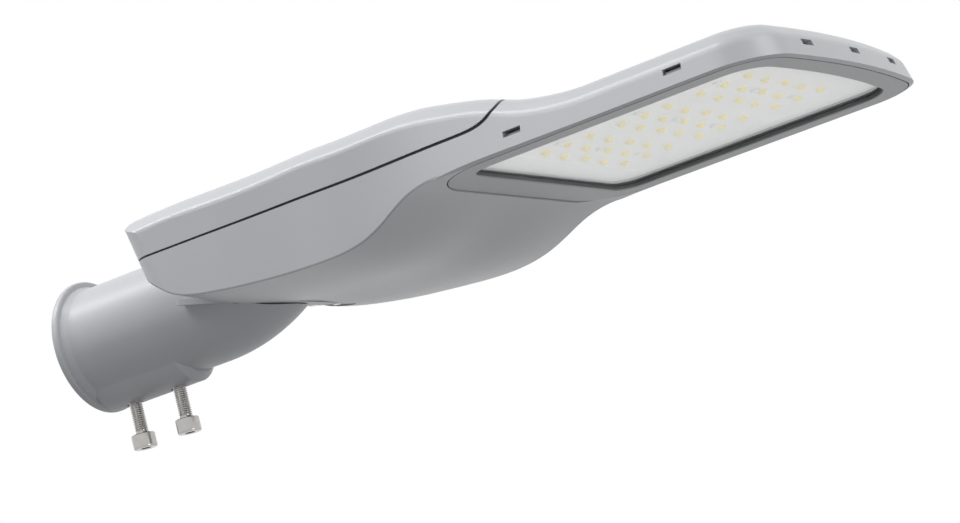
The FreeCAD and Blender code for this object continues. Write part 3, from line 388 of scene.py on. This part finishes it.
package = surface("led_package", colour=(0.90, 0.83, 0.50), vary=0.03, roughness=(0.4, 0.5),
                  patch=500.0, grain=2500.0, specular=0.3)
glass = glass_material()

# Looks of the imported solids: those not listed are steel fasteners
LOOKS = {
    "housing": paint,
    "gear_cover": paint,
    "spigot": socket_paint,
    "lens_frame": frame_paint,
    "glass": glass,
    "cover_gasket": rubber,
    "glass_gasket": window_rubber,
    "wire_grommet": rubber,
    "led_board_rear": board_white,
    "led_board_middle": board_white,
    "led_board_front": board_white,
    "leds_rear": phosphor,
    "leds_middle": phosphor,
    "leds_front": phosphor,
    "reflector": sheet_white,
    "board_screws": bright_steel,
    "earth_screw": brass,
    "driver": case_metal,
    "terminal_block": nylon,
    "surge_protector": dark_moulding,
    "cable_gland": black_nylon,
    "gland_nut": black_nylon,
    "breather": black_nylon,
    "input_lead": sheath,
    "output_lead": sheath,
    "board_leads": core_sheath,
}
for name, piece in nodes.items():
    piece.data.materials.clear()
    piece.data.materials.append(LOOKS.get(name, steel))


def mesh_piece(name, points, faces, materials, face_slots, smooth_angle):
    """New mesh object that rides on the light."""
    mesh = bpy.data.meshes.new(name)
    mesh.from_pydata(points, [], faces)
    for material in materials:
        mesh.materials.append(material)
    mesh.polygons.foreach_set("material_index", face_slots)
    mesh.validate()
    mesh.shade_smooth()
    mesh.set_sharp_from_angle(angle=smooth_angle)
    mesh.update()
    piece = bpy.data.objects.new(name, mesh)
    scene.collection.objects.link(piece)
    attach(piece, "root")
    return piece


def add_rings(rings, points, faces):
    """Adds rings of equal length with quads between them, and gives the first and last ring's points."""
    count = len(rings[0])
    start = len(points)
    for row in range(len(rings) - 1):
        low = start + row * count
        for step in range(count):
            after = (step + 1) % count
            faces.append((low + step, low + after, low + count + after, low + count + step))
    for loop in rings:
        points.extend(loop)
    end = len(points)
    return range(start, start + count), range(end - count, end)


def ring(radii, z, centre, hand=1):
    """Points at the given radii round an upright axis, clockwise from above where hand is -1."""
    loop = []
    for step, radius in enumerate(radii):
        turn = hand * 2 * math.pi * step / len(radii)
        x = centre[0] + radius * math.cos(turn)
        y = centre[1] + radius * math.sin(turn)
        loop.append((x * MM, y * MM, z * MM))
    return loop


def square(half, z, centre):
    """Corners of a level square, clockwise from above."""
    corners = ((-half, -half), (-half, half), (half, half), (half, -half))
    return [((centre[0] + x) * MM, (centre[1] + y) * MM, z * MM) for x, y in corners]


def circle(radius):
    """Equal radii round a clamp screw."""
    return [radius] * SCREW_STEPS


def hex_radius(angle):
    """Distance from the middle of the hexagon socket to its edge at an angle."""
    sixth = math.pi / 3
    turned = (angle + sixth / 2) % sixth - sixth / 2
    return CLAMP_HEX_FLATS / 2 / math.cos(turned)


def thread_radius(step, z, fade):
    """Distance from a clamp screw's axis to its thread, which runs out as fade goes to 0."""
    turn = (z / THREAD_PITCH - step / SCREW_STEPS) % 1.0
    wave = min(1.0, max(0.0, abs(turn * 2 - 1) * THREAD_SLOPE - THREAD_CREST))
    return CLAMP_RADIUS - THREAD_DEPTH * (wave * fade + THREAD_RUN_OUT * (1 - fade))


def clamp_screw(centre_x, points, faces, slots):
    """Socket-head screw with a rolled thread and a turned head, head down."""
    head = CLAMP_HEAD_RADIUS
    seat = CLAMP_SEAT_Z
    bottom = seat - CLAMP_HEAD_HEIGHT
    hexagon = [hex_radius(2 * math.pi * step / SCREW_STEPS) for step in range(SCREW_STEPS)]
    levels = [
        (circle(CLAMP_CLOSING_RADIUS), bottom + CLAMP_HEX_DEPTH + CLAMP_HEX_CONE),
        (hexagon, bottom + CLAMP_HEX_DEPTH),
        (hexagon, bottom + CLAMP_HEX_CHAMFER),
        ([radius + CLAMP_HEX_FLARE for radius in hexagon], bottom),
    ]
    for step in range(EASE_STEPS + 1):
        turn = math.pi / 2 * step / EASE_STEPS
        reach = head - CLAMP_HEAD_EASE * (1 - math.sin(turn))
        levels.append((circle(reach), bottom + CLAMP_HEAD_EASE * (1 - math.cos(turn))))
    levels += [
        (circle(head), seat - CLAMP_HEAD_CHAMFER),
        (circle(head - CLAMP_HEAD_CHAMFER), seat),
        (circle(CLAMP_RADIUS + CLAMP_NECK_FLARE), seat),
        (circle(CLAMP_RADIUS - CLAMP_NECK_INSET), seat + CLAMP_NECK_HEIGHT),
    ]
    thread_start = seat + THREAD_FROM_SEAT
    thread_end = CLAMP_TOP_Z - THREAD_FROM_TOP
    rows = int((thread_end - thread_start) / THREAD_PITCH * THREAD_ROWS)
    for row in range(rows + 1):
        z = thread_start + (thread_end - thread_start) * row / rows
        fade = min(1.0, row / THREAD_ROWS, (rows - row) / THREAD_ROWS)
        levels.append(([thread_radius(step, z, fade) for step in range(SCREW_STEPS)], z))
    levels += [
        (circle(CLAMP_RADIUS - CLAMP_TIP_CHAMFER), CLAMP_TOP_Z),
        (circle(CLAMP_CLOSING_RADIUS), CLAMP_TOP_Z),
    ]
    rings = [ring(radii, z, (centre_x, 0.0)) for radii, z in levels]
    first, last = add_rings(rings, points, faces)
    faces.append(tuple(reversed(first)))
    faces.append(tuple(last))
    # Faces deep in the thread take the lighter steel, painted light in its roots
    for face in faces[len(slots):]:
        middle = sum((Vector(points[corner]) for corner in face), Vector()) / len(face) / MM
        reach = math.hypot(middle.x - centre_x, middle.y)
        on_thread = thread_start < middle.z < thread_end
        slots.append(PAINTED_LIGHT_ROOT_SLOT if on_thread and reach < CLAMP_RADIUS - THREAD_ROOT else STEEL_SLOT)


def led(centre, board_z, tip_z, points, faces, slots):
    """Square package with eased edges and a yellow dome, facing down."""
    half = LED_SIZE / 2
    low = board_z - LED_BASE
    base = [
        square(half, board_z, centre),
        square(half, low + LED_EDGE, centre),
        square(half - LED_EDGE, low, centre),
    ]
    first, last = add_rings(base, points, faces)
    faces.append(tuple(last))
    faces.append(tuple(reversed(first)))
    slots.extend([PACKAGE_SLOT] * (len(faces) - len(slots)))
    dome_radius = half - LED_EDGE
    dome_height = low - tip_z
    ball = (dome_radius ** 2 + dome_height ** 2) / (2 * dome_height)
    widest = math.asin(dome_radius / ball)
    dome = []
    for row in range(DOME_RINGS):
        tilt = widest * (1 - row / DOME_RINGS)
        reach = ball * math.sin(tilt)
        dome.append(ring([reach] * DOME_STEPS, tip_z + ball * (1 - math.cos(tilt)), centre, hand=-1))
    first, last = add_rings(dome, points, faces)
    tip = len(points)
    points.append((centre[0] * MM, centre[1] * MM, tip_z * MM))
    for step in range(DOME_STEPS):
        faces.append((last[step], last[(step + 1) % DOME_STEPS], tip))
    slots.extend([PHOSPHOR_SLOT] * (len(faces) - len(slots)))


# Clamp screws
screw_points = []
screw_faces = []
screw_slots = []
for x in CLAMP_X:
    clamp_screw(x, screw_points, screw_faces, screw_slots)
clamp_piece = mesh_piece("clamp_screws_threaded", screw_points, screw_faces, [steel, thread_root_painted_light],
                         screw_slots, SCREW_SMOOTH)
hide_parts("clamp_screws")

# Light sources of each board
for place in LED_BOARDS:
    led_low, led_high = (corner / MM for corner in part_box("leds_" + place))
    pitch_x = (led_high.x - led_low.x - LED_SIZE - LED_ROW_BACK) / (LED_COLUMNS - 1)
    pitch_y = (led_high.y - led_low.y - LED_SIZE) / (LED_ROWS - 1)
    led_points = []
    led_faces = []
    led_slots = []
    for row in range(LED_ROWS):
        y = led_low.y + LED_SIZE / 2 + row * pitch_y
        first_x = led_low.x + LED_SIZE / 2 + (0.0 if row % 2 else LED_ROW_BACK)
        for column in range(LED_COLUMNS):
            x = first_x + column * pitch_x
            led((x, y), led_high.z, led_low.z, led_points, led_faces, led_slots)
    led_piece = mesh_piece("leds_" + place + "_domed", led_points, led_faces, [package, phosphor],
                           led_slots, LED_SMOOTH)
    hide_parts("leds_" + place)


def photo_camera():
    """Camera at the photograph's viewing angle."""
    back = Vector((
        math.sin(VIEW_AZIMUTH) * math.cos(VIEW_ELEVATION),
        -math.cos(VIEW_AZIMUTH) * math.cos(VIEW_ELEVATION),
        math.sin(VIEW_ELEVATION),
    ))
    level = Vector((math.cos(VIEW_AZIMUTH), math.sin(VIEW_AZIMUTH), 0.0))
    upward = back.cross(level)
    right = level * math.cos(VIEW_ROLL) + upward * math.sin(VIEW_ROLL)
    up = upward * math.cos(VIEW_ROLL) - level * math.sin(VIEW_ROLL)
    data = bpy.data.cameras.new("camera")
    data.sensor_width = SENSOR_WIDTH
    data.lens = VIEW_LENS
    data.clip_start = CLIP_START
    data.clip_end = CLIP_END
    camera = bpy.data.objects.new("camera", data)
    camera.matrix_world = Matrix((right, up, back)).transposed().to_4x4()
    camera.location = VIEW_TARGET + back * VIEW_DISTANCE
    scene.collection.objects.link(camera)
    return camera


def seen_rays(tree):
    """Factor that is 1 for rays that show the background itself, also in a mirror or through glass."""
    rays = add(tree, "ShaderNodeLightPath").outputs
    mirrored = number(tree, "MAXIMUM", rays["Is Camera Ray"], rays["Is Glossy Ray"])
    return number(tree, "MAXIMUM", mirrored, rays["Is Transmission Ray"])


def studio_world():
    """World that is white where it is seen, and softer where it lights."""
    world = bpy.data.worlds.new("studio")
    world.use_nodes = True
    tree = world.node_tree
    lit = tree.nodes["Background"]
    fill(tree, lit, {"Color": WHITE, "Strength": WORLD_LIGHT})
    shown = add(tree, "ShaderNodeBackground", {"Color": WHITE, "Strength": SHOWN_LIGHT})
    show_mix(tree, "World Output", seen_rays(tree), lit.outputs["Background"], shown.outputs["Background"])
    return world


def floor_material():
    """Grey where it lights the object, and nearly white where it is seen."""
    material, tree, shader = new_material("floor")
    fill(tree, shader, {"Base Color": FLOOR_COLOUR, "Roughness": FLOOR_ROUGHNESS})
    white = add(tree, "ShaderNodeEmission", {"Color": WHITE, "Strength": SHOWN_LIGHT})
    shown = number(tree, "MULTIPLY", seen_rays(tree), FLOOR_SHOWN)
    show_mix(tree, "Material Output", shown, shader.outputs["BSDF"], white.outputs["Emission"])
    return material


def studio_floor():
    """Level square far below the light."""
    half = FLOOR_HALF
    corners = ((-half, -half), (half, -half), (half, half), (-half, half))
    mesh = bpy.data.meshes.new("floor")
    mesh.from_pydata([(x, y, FLOOR_Z) for x, y in corners], [], [range(len(corners))])
    mesh.materials.append(floor_material())
    floor = bpy.data.objects.new("floor", mesh)
    scene.collection.objects.link(floor)
    return floor


def area_light(name, place, aim, size, watts, strip_width=None):
    """Round soft lamp, or a strip along X where a width is given."""
    data = bpy.data.lights.new(name, "AREA")
    data.shape = "RECTANGLE" if strip_width else "DISK"
    data.size = size
    if strip_width:
        data.size_y = strip_width
    data.energy = watts
    lamp = bpy.data.objects.new(name, data)
    lamp.location = place
    toward = (Vector(place) - Vector(aim)).normalized()
    across = (Vector((1.0, 0.0, 0.0)) - toward * toward.x).normalized()
    upright = toward.cross(across)
    lamp.rotation_mode = "QUATERNION"
    lamp.rotation_quaternion = Matrix((across, upright, toward)).transposed().to_quaternion()
    lamp.visible_camera = False
    scene.collection.objects.link(lamp)


# Camera, stage and lamps
scene.camera = photo_camera()
scene.world = studio_world()
floor = studio_floor()
area_light("key", place=(-0.2, -1.2, 1.3), aim=OBJECT_MIDDLE, size=1.2, watts=9.4)
area_light("strip", place=(-0.28, -0.3, 1.02), aim=OBJECT_MIDDLE, size=1.2, watts=8.0, strip_width=0.12)
area_light("nose_fill", place=(1.7, 0.0, 0.9), aim=OBJECT_MIDDLE, size=1.0, watts=8.5)
area_light("low_fill", place=(2.0, -0.5, -0.8), aim=OBJECT_FRONT, size=0.8, watts=6.0)
